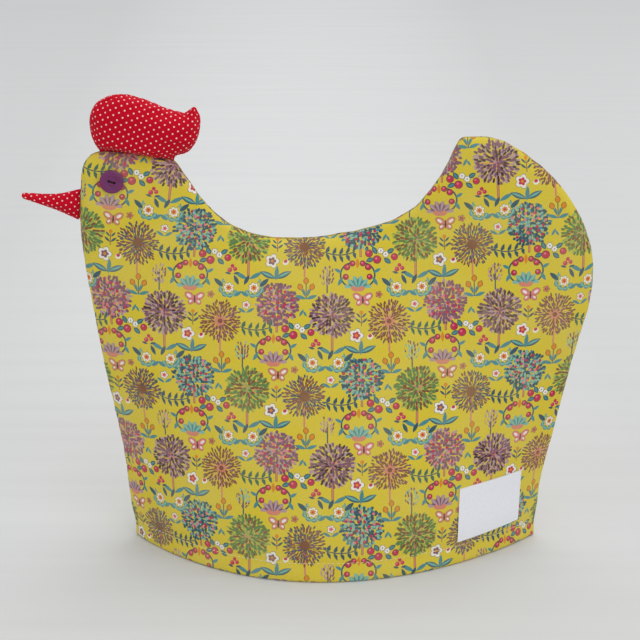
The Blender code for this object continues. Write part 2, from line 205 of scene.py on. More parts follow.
class Print:
    """A picture on flat cloth, painted motif by motif over the ground. Its sizes are millimetres."""

    def __init__(self, finish, cloth, ground, dab_pitches):
        self.finish, self.cloth, self.colour = finish, cloth, ground
        self.dab_cells = [self.strewn(pitch) for pitch in dab_pitches]

    def strewn(self, pitch):
        """Cells strewn over the cloth: the way from each one's middle, that way's square, and a number."""
        values = {"Vector": self.cloth, "Scale": 1 / pitch, "Randomness": 0.85}
        cell = self.finish.node("ShaderNodeTexVoronoi", {"voronoi_dimensions": "2D"}, values, None)
        middle, colour = (Socket(self.finish, cell.outputs[name]) for name in ("Position", "Color"))
        gap = self.cloth.vector("SUBTRACT", middle)
        chance = colour.dot((1.0, 0.0, 0.0))
        return gap, gap.dot(gap), chance

    def spot(self, x, y):
        """Places from a motif's middle, which comes twice in each repeat, the second time half a repeat on
        and up. The second value is 0 round the first middle and 1 round the other."""
        half = (REPEAT_WIDTH / 2, REPEAT_HEIGHT / 2, 1.0)
        least = (-half[0], -half[1], -1.0)
        first = self.cloth.vector("SUBTRACT", (x, y, 0.0))
        second = first.vector("SUBTRACT", (half[0], half[1], 0.0)).vector("WRAP", half, least)
        first = first.vector("WRAP", half, least)
        which = first.length() > second.length()
        settings = {"data_type": "VECTOR"}
        return self.finish.node("ShaderNodeMix", settings, {0: which, 4: first, 5: second}, 1), which

    def part(self, spot, turn=0.0, size=1.0):
        """How far along a direction each place is, in sizes."""
        angle = math.radians(turn)
        way = (math.cos(angle) / size, math.sin(angle) / size, 0.0)
        return spot.dot(way)

    def mirrored(self, spot):
        """Places with the left half folded over on the right one."""
        upright = spot.vector("MULTIPLY", (0.0, 1.0, 0.0))
        return spot.vector("ABSOLUTE").vector("MULTIPLY_ADD", (1.0, 0.0, 0.0), upright)

    def inside(self, distance, edge, sharpness=EDGE_SHARPNESS):
        """1 where a distance is under the edge, with a narrow soft border."""
        return distance.math("MULTIPLY_ADD", -sharpness, edge * sharpness + 0.5, clamp=True)

    def disc(self, spot, x, y, radius):
        return self.inside(spot.vector("DISTANCE", (x, y, 0.0), out="Value"), radius)

    def oval(self, spot, x, y, half_width, half_height, turn=0.0):
        """An oval, its width along the turn."""
        shifted = spot.vector("SUBTRACT", (x, y, 0.0))
        along, across = self.part(shifted, turn, half_width), self.part(shifted, turn + 90, half_height)
        reach = along.math("MULTIPLY_ADD", along, across.math("MULTIPLY", across))
        return self.inside(reach, 1.0, EDGE_SHARPNESS * min(half_width, half_height) / 2)

    def leaf(self, spot, x, y, half_length, half_width, turn):
        """A leaf with two points, its length along the turn."""
        shifted = spot.vector("SUBTRACT", (x, y, 0.0))
        along, across = self.part(shifted, turn, half_length), self.part(shifted, turn + 90, half_width)
        reach = along.math("MULTIPLY_ADD", along, abs(across))
        return self.inside(reach, 1.0, EDGE_SHARPNESS * half_width)

    def stalk(self, spot, low, high, half_width, colour):
        """An upright stalk below a head."""
        x, y = self.part(spot), self.part(spot, 90.0)
        mask = self.inside(abs(y.math("SUBTRACT", (low + high) / 2)), (high - low) / 2)
        self.lay(mask & self.inside(abs(x), half_width), colour)

    def lay(self, mask, colour):
        """Paints a colour over what is there."""
        self.colour = self.finish.mix(mask, self.colour, colour)

    def around(self, spot):
        """The angle of each place round the middle."""
        return self.part(spot, 90.0).math("ARCTAN2", self.part(spot))

    def spokes(self, spot, count, half_width, reach):
        """Fine lines out from the middle."""
        gap = abs((self.around(spot) * (count / 2)).math("SINE"))
        out = spot.length()
        return self.inside(gap & out, half_width * count / 2) & self.inside(out, reach)

    def flower(self, spot, x, y, reach, count, rim, heart, eye):
        """An open flower with a dark line round it."""
        shifted = spot.vector("SUBTRACT", (x, y, 0.0))
        wave = abs((self.around(shifted) * (count / 2)).math("COSINE"))
        rim_reach = wave.math("MULTIPLY_ADD", 0.34 * reach, 0.66 * reach)
        place = shifted.length() / rim_reach
        sharp = EDGE_SHARPNESS * reach
        self.lay(self.inside(place, 1 + 0.28 / reach, sharp), INK)
        self.lay(self.inside(place, 1.0, sharp), rim)
        self.lay(self.inside(place, 0.58, sharp), heart)
        self.lay(self.disc(spot, x, y, reach * 0.2), eye)

    def dabs(self, spot, cells, length, width, reach, hollow=0.0):
        """Strewn brush dabs that point away from the middle, with a number for each."""
        gap, squared, chance = self.dab_cells[cells]
        middles = spot.vector("SUBTRACT", gap)
        along = gap.dot(middles.vector("NORMALIZE"))
        thin = squared * (1 / width**2)
        oval = along.math("MULTIPLY", along).math("MULTIPLY_ADD", 1 / length**2 - 1 / width**2, thin)
        out = middles.length()
        mask = self.inside(oval, 1.0, EDGE_SHARPNESS * width / 2) & (out < reach)
        if hollow:
            mask = mask & (out > hollow)
        return mask, chance


def garden(finish, cloth):
    """The whole print. What comes last lies on top."""
    p = Print(finish, cloth, GROUND, (2.0, 2.5, 4.0))

    # ball flowers on stout stems, mauve in one place and leaf green in the other
    spot, which = p.spot(14.0, 70.0)
    p.stalk(spot, -23.5, -6.0, 0.75, BROWN)
    p.stalk(spot, -23.2, -6.0, 0.5, SALMON)
    p.lay(p.leaf(p.mirrored(spot), 4.6, -21.6, 4.6, 1.3, 28.0), TEAL)
    p.lay(p.spokes(spot, 18, 0.28, 10.5), SALMON)
    dark = finish.mix(which, MAUVE, LEAF_GREEN)
    mask, chance = p.dabs(spot, 0, 1.55, 0.78, 13.8)
    p.lay(mask, finish.mix(chance > 0.55, dark, finish.mix(which, PALE_MAUVE, PALE_GREEN)))
    mask, chance = p.dabs(spot, 1, 1.6, 0.68, 13.2, 2.0)
    p.lay(mask, finish.mix(chance > 0.5, finish.mix(which, INK, BROWN), dark))

    # blue heads with crimson florets, and plum ones in the other place
    spot, which = p.spot(32.0, 31.0)
    p.stalk(spot, -17.5, -8.0, 0.7, BROWN)
    p.stalk(spot, -17.2, -8.0, 0.45, SALMON)
    dark = finish.mix(which, DARK_TEAL, MAUVE)
    mask, chance = p.dabs(spot, 0, 1.25, 0.9, 13.4)
    p.lay(mask, finish.mix(chance > 0.6, dark, finish.mix(which, TEAL, PALE_MAUVE)))
    mask, chance = p.dabs(spot, 1, 1.3, 0.7, 12.6)
    p.lay(mask, finish.mix(chance > 0.45, dark, finish.mix(which, PALE_TEAL, PLUM)))
    mask, chance = p.dabs(spot, 2, 0.9, 0.9, 11.6)
    p.lay(mask, finish.mix(chance > 0.5, CRIMSON, PINK))

    # seed clocks: fine spokes that end in dark tips
    spot, which = p.spot(49.0, 66.0)
    p.stalk(spot, -19.0, 0.0, 0.55, SALMON)
    p.lay(p.spokes(spot, 30, 0.2, 11.0), finish.mix(which, SALMON, BROWN))
    mask, chance = p.dabs(spot, 0, 1.3, 0.55, 13.2, 3.0)
    p.lay(mask, finish.mix(chance > 0.5, BROWN, finish.mix(which, MAUVE, DARK_TEAL)))
    mask, chance = p.dabs(spot, 1, 1.2, 0.42, 12.4, 3.0)
    p.lay(mask, finish.mix(which, BROWN, MAUVE))
    p.lay(p.disc(spot, 0.0, 0.0, 1.5), BROWN)

    # a pair of scrolls that hold daisies
    spot = p.spot(9.8, 40.5)[0]
    fold = p.mirrored(spot)
    ring = fold.vector("SUBTRACT", (7.8, 0.6, 0.0))
    turn = p.around(ring)
    teeth = abs((turn * 4.5).math("SINE")).math("MULTIPLY_ADD", 0.9, 0.5)
    band = abs(ring.length() - 5.2) / teeth
    open_arc = turn.math("COMPARE", -0.9, 1.9)
    p.lay(p.inside(band, 1.0) & open_arc, TEAL)
    p.lay(p.inside(band, 0.42) & open_arc, PALE_TEAL)
    p.lay(p.leaf(fold, 14.2, 3.6, 3.8, 1.4, 42.0), DARK_TEAL)
    p.lay(p.leaf(fold, 2.0, -3.4, 3.0, 1.1, -35.0), TEAL)
    p.lay(p.leaf(fold, 3.2, 5.2, 3.4, 1.2, 64.0), DARK_TEAL)
    p.flower(fold, 7.8, 0.4, 3.3, 7, WHITE, ORANGE, CRIMSON)

    # a crest of arched stalks with crimson buds over a striped fan
    spot, which = p.spot(82.0, 48.0)
    fold = p.mirrored(spot)
    ring = fold.vector("SUBTRACT", (3.2, 0.5, 0.0))
    arch = p.inside(abs(ring.length() - 7.4), 0.5)
    p.lay(arch & (p.part(ring) > -1.5), DARK_TEAL)
    p.lay(p.leaf(fold, 10.8, -3.4, 3.0, 1.1, -60.0) | p.leaf(fold, 12.2, 3.2, 2.6, 1.0, 30.0), TEAL)
    root = spot.vector("SUBTRACT", (0.0, -8.4, 0.0))
    stripes = abs((p.around(root) * 6.0).math("SINE"))
    reach = root.length() / stripes.math("MULTIPLY_ADD", 0.3, 0.7)
    fan = p.inside(reach, 8.6) & (p.part(root, 90.0) > 0.8)
    p.lay(fan, finish.mix(which, MAUVE, TEAL))
    p.lay(fan & (stripes > 0.62), finish.mix(which, PALE_MAUVE, PALE_TEAL))
    p.lay(p.oval(fold, 1.9, -8.0, 2.6, 1.5, 20.0), SALMON)
    for bud_x, bud_y, size in ((3.2, 7.6, 1.5), (6.6, 5.4, 1.7), (7.4, -0.6, 1.5)):
        p.lay(p.disc(fold, bud_x, bud_y, size + 0.35), INK)
        p.lay(p.disc(fold, bud_x, bud_y, size), CRIMSON)
        p.lay(p.disc(fold, bud_x - 0.3, bud_y + 0.4, size * 0.42), PINK)
    p.lay(p.leaf(spot, 0.0, 7.6, 3.2, 1.1, 90.0), ORANGE)

    # a leafy sprig that lies along the repeat
    spot, which = p.spot(19.0, 16.0)
    x = p.part(spot)
    bow = abs(x.math("MULTIPLY", x).math("MULTIPLY_ADD", -0.022, p.part(spot, 90.0)) + 1.2)
    p.lay(p.inside(bow, 0.35) & p.inside(abs(x), 9.5), DARK_TEAL)
    slant = x.math("WRAP", 2.1, -2.1) - bow * 0.55
    lobe = bow - 2.6
    toothed = slant.math("MULTIPLY", slant) * 0.62 + lobe.math("MULTIPLY", lobe) * 0.2
    green = finish.mix(which, DARK_TEAL, SPRIG_GREEN)
    p.lay(p.inside(toothed, 1.0, 2.5) & p.inside(abs(x), 10.2), green)

    # three tulips over two leaves
    spot = p.spot(50.0, 40.5)[0]
    fold = p.mirrored(spot)
    p.stalk(spot, -6.5, 3.0, 0.3, DARK_TEAL)
    p.lay(p.leaf(fold, 1.9, -2.6, 3.2, 0.3, 62.0), DARK_TEAL)
    p.lay(p.leaf(fold, 3.4, -5.4, 3.6, 1.1, 18.0), TEAL)
    p.lay(p.leaf(fold, 1.3, -2.2, 2.4, 0.7, 72.0), TEAL)
    for tip_x, tip_y, lean in ((0.0, 4.6, 90.0), (3.7, 0.9, 68.0)):
        p.lay(p.leaf(fold, tip_x, tip_y, 2.3, 1.75, lean), BROWN)
        p.lay(p.leaf(fold, tip_x, tip_y, 1.9, 1.35, lean), ORANGE)

    # white blossoms with a crimson heart over long leaves
    spot, which = p.spot(31.0, 54.0)
    fold = p.mirrored(spot)
    p.lay(p.leaf(fold, 4.9, -5.2, 5.4, 1.7, 24.0), DARK_TEAL)
    p.lay(p.leaf(fold, 4.9, -5.0, 4.9, 1.1, 24.0), TEAL)
    p.lay(p.leaf(fold, 5.2, -4.9, 4.2, 0.35, 24.0), PALE_TEAL)
    p.lay(p.leaf(spot, 0.6, -4.0, 4.6, 1.3, 84.0), TEAL)
    p.lay(p.oval(spot, 6.3, 2.6, 1.9, 1.6, 30.0), WHITE)
    p.lay(p.oval(spot, 6.2, 3.2, 1.2, 1.0, 30.0), CRIMSON)
    p.flower(spot, -2.2, 3.4, 4.4, 5, WHITE, finish.mix(which, CRIMSON, MAUVE), ORANGE)

    # berries with small daisies
    spot = p.spot(44.0, 14.5)[0]
    leaves = (-3.2, 3.0, 120.0), (6.6, 2.6, 30.0), (-6.2, -2.8, 200.0), (4.6, -3.4, -40.0)
    for leaf_x, leaf_y, lean in leaves:
        p.lay(p.leaf(spot, leaf_x, leaf_y, 2.7, 1.5, lean), DARK_TEAL)
        p.lay(p.leaf(spot, leaf_x, leaf_y, 2.1, 0.8, lean), TEAL)
    for berry_x, berry_y, size in ((-6.8, 1.2, 2.1), (-1.8, -2.6, 2.3), (9.0, -1.0, 1.9)):
        p.lay(p.disc(spot, berry_x, berry_y, size + 0.3), INK)
        p.lay(p.disc(spot, berry_x, berry_y, size), CRIMSON)
        p.lay(p.disc(spot, berry_x - 0.5, berry_y + 0.7, size * 0.3), PINK)
    for daisy_x, daisy_y in ((0.6, 2.8), (3.6, 0.6)):
        p.flower(spot, daisy_x, daisy_y, 1.9, 6, WHITE, WHITE, INK)

    # butterflies
    spot, which = p.spot(85.0, 33.5)
    fold = p.mirrored(spot)
    wing = finish.mix(which, SALMON, PINK)
    for wing_x, wing_y, wide, high, lean in ((3.1, 1.5, 3.2, 1.9, 35.0), (2.2, -2.0, 1.9, 1.4, -40.0)):
        p.lay(p.oval(fold, wing_x, wing_y, wide + 0.25, high + 0.25, lean), BROWN)
        p.lay(p.oval(fold, wing_x, wing_y, wide, high, lean), wing)
        p.lay(p.oval(fold, wing_x + 0.4, wing_y + 0.2, wide * 0.5, high * 0.45, lean), WHITE)
    p.lay(p.leaf(spot, 0.0, -0.4, 3.0, 0.5, 90.0), INK)

    # lavender plumes in the gaps
    spot, which = p.spot(11.0, 0.0)
    p.stalk(spot, -8.5, 4.0, 0.4, DARK_TEAL)
    root = spot.vector("SUBTRACT", (0.0, -6.0, 0.0))
    mask, chance = p.dabs(root, 0, 1.3, 0.5, 14.0, 3.0)
    plume = p.oval(spot, 0.0, 2.2, 4.6, 6.6)
    p.lay(mask & plume, finish.mix(chance > 0.5, MAUVE, finish.mix(which, PALE_MAUVE, PALE_TEAL)))

    # small sprays that fill what is left
    spot = p.spot(13.0, 29.5)[0]
    p.lay(p.leaf(p.mirrored(spot), 2.6, -2.6, 2.9, 0.9, 30.0), TEAL)
    p.flower(spot, 0.0, 0.8, 2.5, 5, WHITE, PINK, CRIMSON)
    spot = p.spot(84.0, 21.5)[0]
    fold = p.mirrored(spot)
    p.stalk(spot, -4.5, 3.0, 0.25, BROWN)
    p.lay(p.leaf(fold, 2.0, -1.0, 2.3, 0.7, 40.0) | p.leaf(fold, 1.7, 2.2, 2.0, 0.6, 48.0), DARK_TEAL)
    p.lay(p.disc(spot, 0.0, 4.0, 1.2), ORANGE)
    spot = p.spot(56.0, 6.5)[0]
    cherries = p.disc(spot, -1.6, -0.6, 1.5) | p.disc(spot, 1.7, 0.0, 1.3) | p.disc(spot, 0.0, 1.9, 1.2)
    p.lay(cherries, CRIMSON)
    p.lay(p.disc(spot, -2.0, -0.2, 0.5) | p.disc(spot, 1.4, 0.3, 0.4), PINK)
    p.lay(p.leaf(p.mirrored(spot), 2.6, -2.6, 2.0, 0.7, 15.0), DARK_TEAL)
    spot = p.spot(95.0, 36.5)[0]
    p.flower(spot, 0.0, 0.0, 2.0, 5, SALMON, BROWN, ORANGE)
    spot = p.spot(48.0, 25.5)[0]
    p.lay(p.leaf(spot, -0.9, 0.0, 2.6, 0.8, 60.0) | p.leaf(spot, 1.3, -0.6, 2.0, 0.7, 120.0), TEAL)
    return p.colour


HEM_STITCH_HEIGHT = 0.012
STITCH_PITCH = 0.003
PUCKER_HEIGHT_FADE = 220.0


def printed_cotton():
    """The print on fine plain weave, a little mottled and faded, as washed cotton is, with painted shade
    that darkens it down in the seam. The hem's stitches draw it into small puckers."""
    made = Finish("printed cotton", Sheen_Weight=0.12, Sheen_Roughness=0.5, Specular_IOR_Level=0.2)
    place = made.cloth()
    colour = garden(made, place.vector("MULTIPLY", (1000.0, 1000.0, 0.0)))
    cloudy = made.noise(place.vector("MULTIPLY", (1.0, 1.0, 0.0)), 3.0, 35.0)
    worn = made.mix(cloudy.math("MULTIPLY_ADD", 0.45, -0.16, clamp=True), colour, paint(226, 214, 150))
    weave = made.weave(place, (1000.0, 3400.0, 0.0), (3400.0, 1000.0, 0.0))
    shaded = made.mix(weave.math("MULTIPLY_ADD", -0.36, 0.42, clamp=True), worn, paint(110, 96, 40))
    # painted shade: near the seam the print is painted darker brown, standing in for the shade of the
    # groove between the panels
    painted_groove_shade = made.node("ShaderNodeAttribute", {"attribute_name": "painted_seam_shade"}, {}, "Fac")
    shaded = made.mix(painted_groove_shade * 0.6, shaded, paint(84, 66, 40))
    along = place.dot((1.0, 0.0, 0.0))
    up = made.space().dot((0.0, 0.0, 1.0))
    near = abs(up - HEM_STITCH_HEIGHT).math("MULTIPLY_ADD", -PUCKER_HEIGHT_FADE, 1.0, clamp=True)
    pucker = near * (along * (2 * math.pi / STITCH_PITCH)).math("COSINE")
    made.feed(Base_Color=shaded, Roughness=weave.math("MULTIPLY_ADD", -0.2, 0.98))
    made.bump(weave * 0.12 + pucker * 0.1, 0.001)
    return made


def pale_cotton():
    """Plain unbleached cotton, as the inside of the cosy is faced with."""
    made = Finish("pale cotton", Roughness=0.9, Sheen_Weight=0.2, Specular_IOR_Level=0.2)
    place = made.cloth()
    weave = made.weave(place, (500.0, 2200.0, 0.0), (2200.0, 500.0, 0.0))
    made.feed(Base_Color=made.mix(weave * 0.5, paint(196, 186, 164), paint(232, 226, 210)))
    made.bump(weave, 0.00015)
    return made


def alone(*pieces):
    """Selects these pieces and nothing else."""
    bpy.ops.object.select_all(action="DESELECT")
    for piece in pieces:
        piece.select_set(True)
    bpy.context.view_layer.objects.active = pieces[0]


MERGE_REACH = 0.00002
ON_SEAM = 0.00001
CORNER = math.radians(50.0)


def cloth_from(node, name):
    """A piece with the shape of a node, its loose faces joined up and paired, but not across the plane of
    the cosy's seam, y = 0."""
    piece = bpy.data.objects.new(name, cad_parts[node].data.copy())
    piece.data.name = name
    bpy.context.collection.objects.link(piece)
    alone(piece)
    bpy.ops.object.mode_set(mode="EDIT")
    bpy.ops.mesh.select_all(action="SELECT")
    bpy.ops.mesh.remove_doubles(threshold=MERGE_REACH)
    bpy.ops.object.mode_set(mode="OBJECT")
    points = piece.data.vertices
    for edge in piece.data.edges:
        edge.use_seam = all(abs(points[i].co.y) < ON_SEAM for i in edge.vertices)
    bpy.ops.object.mode_set(mode="EDIT")
    bpy.ops.mesh.select_all(action="SELECT")
    bpy.ops.mesh.tris_convert_to_quads(face_threshold=CORNER, shape_threshold=CORNER, seam=True)
    bpy.ops.object.mode_set(mode="OBJECT")
    bpy.ops.mesh.customdata_custom_splitnormals_clear()
    piece.data.materials.clear()
    return piece


HEM_FOLD = 0.1
ON_FLOOR = 0.0001


def hold_corners(piece):
    """Keeps the piece's corners sharp when it is made finer, and nearly round on the floor, where the hem
    is folded. The cloth's mapping is cut there too."""
    bm = bmesh.new()
    bm.from_mesh(piece.data)
    hold = bm.edges.layers.float.get("crease_edge") or bm.edges.layers.float.new("crease_edge")
    for edge in bm.edges:
        if len(edge.link_faces) == 2 and edge.calc_face_angle() > CORNER:
            edge[hold] = HEM_FOLD if all(v.co.z < ON_FLOOR for v in edge.verts) else 1.0
            edge.seam = True
    bm.to_mesh(piece.data)
    bm.free()


def finer(piece, levels):
    """Rounds the piece's faces off, and keeps that in its mesh."""
    alone(piece)
    made = piece.modifiers.new("finer", "SUBSURF")
    made.levels = made.render_levels = levels
    bpy.ops.object.modifier_apply(modifier=made.name)


MIDDLE_REACH = 0.015


def unroll(piece, shift=(0.0, 0.0)):
    """Maps the cloth in metres, as it lay flat and upright before it was sewn along its cuts. The way up
    and the scale are those of each part's middle."""
    alone(piece)
    bpy.ops.object.mode_set(mode="EDIT")
    bpy.ops.mesh.select_all(action="SELECT")
    bpy.ops.uv.unwrap(method="MINIMUM_STRETCH", iterations=20, margin=0.001)
    bpy.ops.object.mode_set(mode="OBJECT")
    piece.data.uv_layers[0].name = "cloth"
    bm = bmesh.new()
    bm.from_mesh(piece.data)
    flat = bm.loops.layers.uv["cloth"]
    seen = set()
    for first in bm.faces:
        if first.index in seen:
            continue
        seen.add(first.index)
        part = [first]
        for face in part:
            for edge in face.edges:
                for other in edge.link_faces:
                    if not edge.seam and other.index not in seen:
                        seen.add(other.index)
                        part.append(other)
        side = math.copysign(1.0, sum(face.normal.y * face.calc_area() for face in part))
        loops = [loop for face in part for loop in face.loops]
        laid = np.array([complex(*loop[flat].uv) for loop in loops])
        upright = np.array([complex(-side * loop.vert.co.x, loop.vert.co.z) for loop in loops])
        middle = upright.mean()
        near = np.exp(-((abs(upright - middle) / MIDDLE_REACH) ** 2))
        laid -= (laid * near).sum() / near.sum()
        turn = (laid.conjugate() * (upright - middle) * near).sum()
        real, drawn = 0.0, 0.0
        for face in part:
            ring = [complex(*loop[flat].uv) for loop in face.loops]
            centre = face.calc_center_median()
            weight = math.exp(-((abs(complex(-side * centre.x, centre.z) - middle) / MIDDLE_REACH) ** 2))
            twice = sum((a.conjugate() * b).imag for a, b in zip(ring, ring[1:] + ring[:1]))
            drawn += weight * abs(twice) / 2
            real += weight * face.calc_area()
        placed = laid * (turn / abs(turn) * math.sqrt(real / drawn)) + middle + complex(*shift)
        for loop, place in zip(loops, placed):
            loop[flat].uv = (place.real, place.imag)
    bm.to_mesh(piece.data)
    bm.free()


def points_of(piece):
    """The places of a piece's points, a row each."""
    places = np.zeros(len(piece.data.vertices) * 3)
    piece.data.vertices.foreach_get("co", places)
    return places.reshape(-1, 3)


OUTWARD, ACROSS = 0.05, 0.95
SEAM_DIP, DIP_WIDTH = 0.0007, 0.0006
SEAM_SWELL, SWELL_DEPTH, SWELL_WIDTH = 0.0004, 0.0016, 0.0014
# the second reach is how far from the seam the painted seam shade spreads
SEAM_REACH, PAINTED_SHADE_REACH = 0.008, 0.0005
WAVE_HEIGHT, WAVE_COUNT = 0.0006, 30.0
PUCKER_HEIGHT, PUCKER_COUNT = 0.0005, 130.0


def sew_in(panel, side):
    """Draws the panel's edge in along the seam, lets the wadded cloth swell beside it, and leaves the cloth
    a little uneven, most of all in small puckers near the seam. Notes how near the seam each point is, as
    the weight of the painted seam shade."""
    bm = bmesh.new()
    bm.from_mesh(panel.data)
    shade = bm.verts.layers.float.new("painted_seam_shade")
    bm.normal_update()
    ways = {}
    # the seam's rim lies between the outer cloth and the wall that faces the other panel
    for edge in bm.edges:
        outer, wall = sorted(edge.link_faces, key=lambda face: -face.normal.y * side)
        if outer.normal.y * side > OUTWARD and wall.normal.y * side < -ACROSS:
            for v in edge.verts:
                ways[v] = ways.get(v, Vector()) + Vector((outer.normal.x, 0.0, outer.normal.z))
    seam, ways = list(ways), [way.normalized() for way in ways.values()]
    nearest = KDTree(len(seam))
    for i, v in enumerate(seam):
        nearest.insert((v.co.x, 0.0, v.co.z), i)
    nearest.balance()
    moves = []
    for v in bm.verts:
        _, i, gap = nearest.find((v.co.x, 0.0, v.co.z))
        deep = abs(v.co.y)
        # weight of the painted shade in the seam: 1 on it, fading out within half a millimetre
        v[shade] = math.exp(-((gap / PAINTED_SHADE_REACH) ** 2))
        swell = SEAM_SWELL * math.exp(-(((deep - SWELL_DEPTH) / SWELL_WIDTH) ** 2))
        dip = SEAM_DIP * math.exp(-((deep / DIP_WIDTH) ** 2))
        move = ways[i] * (swell - dip) * max(0.0, 1 - gap / SEAM_REACH) ** 2
        if v.normal.y * side > 0.1:
            wave = WAVE_HEIGHT * noise.noise(v.co * WAVE_COUNT) * min(1.0, gap / SEAM_REACH)
            pucker = PUCKER_HEIGHT * noise.noise(v.co * PUCKER_COUNT) * math.exp(-gap / SEAM_REACH)
            move += v.normal * (wave + pucker) * min(1.0, v.co.z / SEAM_REACH)
        moves.append(move)
    for v, move in zip(bm.verts, moves):
        v.co += move
        v.co.z = max(v.co.z, 0.0)
    bm.to_mesh(panel.data)
    bm.free()


PRINTED, PALE = printed_cotton(), pale_cotton()
PANELS = {}
for node, side, cloth_shift in (("front_panel", -1.0, (0.0, 0.0)), ("back_panel", 1.0, (0.031, 0.017))):
    panel = cloth_from(node, node + "_cotton")
    hold_corners(panel)
    unroll(panel, cloth_shift)
    finer(panel, 2)
    panel.data.materials.append(PRINTED.material)
    panel.data.materials.append(PALE.material)
    for face in panel.data.polygons:
        if face.normal.y * side < -OUTWARD:
            face.material_index = 1
    sew_in(panel, side)
    panel.data.shade_smooth()
    panel.data.set_sharp_from_angle(angle=math.radians(45))
    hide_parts(node)
    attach(panel, "root")
    PANELS[side] = panel

# The hem is turned up inside and top-stitched with cream cotton thread, a row of short stitches on each
# panel, sunk a little into the wadding.
HEM_MIDDLE_X, HEM_REACH, HEM_PROBES = 0.0161, 0.1275, 1200
STITCH_LENGTH = 0.0021
THREAD_HALF_WIDTH = 0.00024
FIRST_STITCH, LAST_STITCH, SHORT_STEP = 0.002, 0.003, 0.001


def cream_thread():
    """Cream cotton, its twist seen as faint flecks."""
    made = Finish("cream thread", Roughness=0.7, Specular_IOR_Level=0.3)
    place = made.space()
    twist = made.noise(place.vector("MULTIPLY", (4000.0, 4000.0, 1500.0)))
    made.feed(Base_Color=made.mix(twist, paint(206, 190, 128), paint(244, 236, 200)))
    return made


CREAM = cream_thread()
bpy.ops.object.select_all(action="DESELECT")
bpy.ops.mesh.primitive_uv_sphere_add(segments=6, ring_count=5, radius=1.0)
stitch = bpy.context.object
bpy.ops.object.mode_set(mode="EDIT")
bpy.ops.mesh.select_all(action="SELECT")
bpy.ops.transform.rotate(value=math.pi / 2, orient_axis="Y", center_override=(0.0, 0.0, 0.0))
bpy.ops.transform.resize(value=(STITCH_LENGTH / 2, THREAD_HALF_WIDTH * 0.8, THREAD_HALF_WIDTH))
bpy.ops.object.mode_set(mode="OBJECT")
for side, name in ((-1.0, "hem_stitches_front"), (1.0, "hem_stitches_back")):
    tree = BVHTree.FromObject(PANELS[side], bpy.context.evaluated_depsgraph_get())
    line = []
    for x in np.linspace(HEM_MIDDLE_X - HEM_REACH, HEM_MIDDLE_X + HEM_REACH, HEM_PROBES):
        hit = tree.ray_cast(Vector((x, side, HEM_STITCH_HEIGHT)), Vector((0.0, -side, 0.0)))[0]
        if hit:
            line.append(hit)
    line = np.array(line)
    along = np.concatenate([[0.0], np.cumsum(np.linalg.norm(np.diff(line, axis=0), axis=1))])
    row = []
    for at in np.arange(FIRST_STITCH, along[-1] - LAST_STITCH, STITCH_PITCH):
        ends = at, at + SHORT_STEP
        start, end = (Vector([np.interp(a, along, line[:, k]) for k in range(3)]) for a in ends)
        way = (end - start).normalized()
        up_way = Vector((0.0, 0.0, 1.0))
        out_way = up_way.cross(way)
        copy = stitch.copy()
        copy.data = stitch.data.copy()
        bpy.context.collection.objects.link(copy)
        turn = Matrix((way, out_way, up_way)).transposed().to_4x4()
        copy.data.transform(Matrix.Translation(start) @ turn)
        row.append(copy)
    alone(*row)
    bpy.ops.object.join()
    stitches = bpy.context.object
    stitches.name = stitches.data.name = name
    alone(stitches)
    bpy.ops.object.mode_set(mode="EDIT")
    bpy.ops.mesh.select_all(action="SELECT")
    bpy.ops.mesh.normals_make_consistent(inside=False)
    bpy.ops.object.mode_set(mode="OBJECT")
    stitches.data.materials.clear()
    stitches.data.materials.append(CREAM.material)
    stitches.data.shade_smooth()
    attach(stitches, "root")
bpy.data.objects.remove(stitch)

# The comb and the beak are cut from red cotton with pin dots, two layers sewn round, turned and stuffed.
# Their open ends are caught in the seam of the two panels.
DOT_PITCH, DOT_RADIUS, DOT_BLUR = 0.00342, 0.00048, 0.00016
DOT_ROWS = math.radians(24.5), math.radians(-52.7)


def spotted_cotton():
    """Red plain weave with small pale dots on slanting rows."""
    made = Finish("spotted cotton", Sheen_Weight=0.03, Sheen_Roughness=0.5, Specular_IOR_Level=0.1)
    place = made.cloth()
    first, second = DOT_ROWS
    reach = DOT_PITCH * math.sin(second - first)
    across = (math.sin(second) / reach, -math.cos(second) / reach, 0.0)
    down = (-math.sin(first) / reach, math.cos(first) / reach, 0.0)
    a, b = (place.dot(way).math("FRACT") - 0.5 for way in (across, down))
    apart = (a * a + b * b + a * b * (2 * math.cos(second - first))).math("SQRT")
    dot = apart.math("MULTIPLY_ADD", -DOT_PITCH / DOT_BLUR, DOT_RADIUS / DOT_BLUR + 0.5, clamp=True)
    weave = made.weave(place, (700.0, 2600.0, 0.0), (2600.0, 700.0, 0.0))
    red = made.mix(weave * 0.5, paint(158, 0, 20), paint(222, 4, 40))
    made.feed(Base_Color=made.mix(dot * 0.92, red, paint(255, 216, 212)), Roughness=weave * -0.2 + 0.98)
    made.bump(weave, 0.00012)
    return made


SEAM_FIRMNESS = 0.6
SEAM_CORNER = math.radians(35.0)
ROOT_NEAR = 0.0016


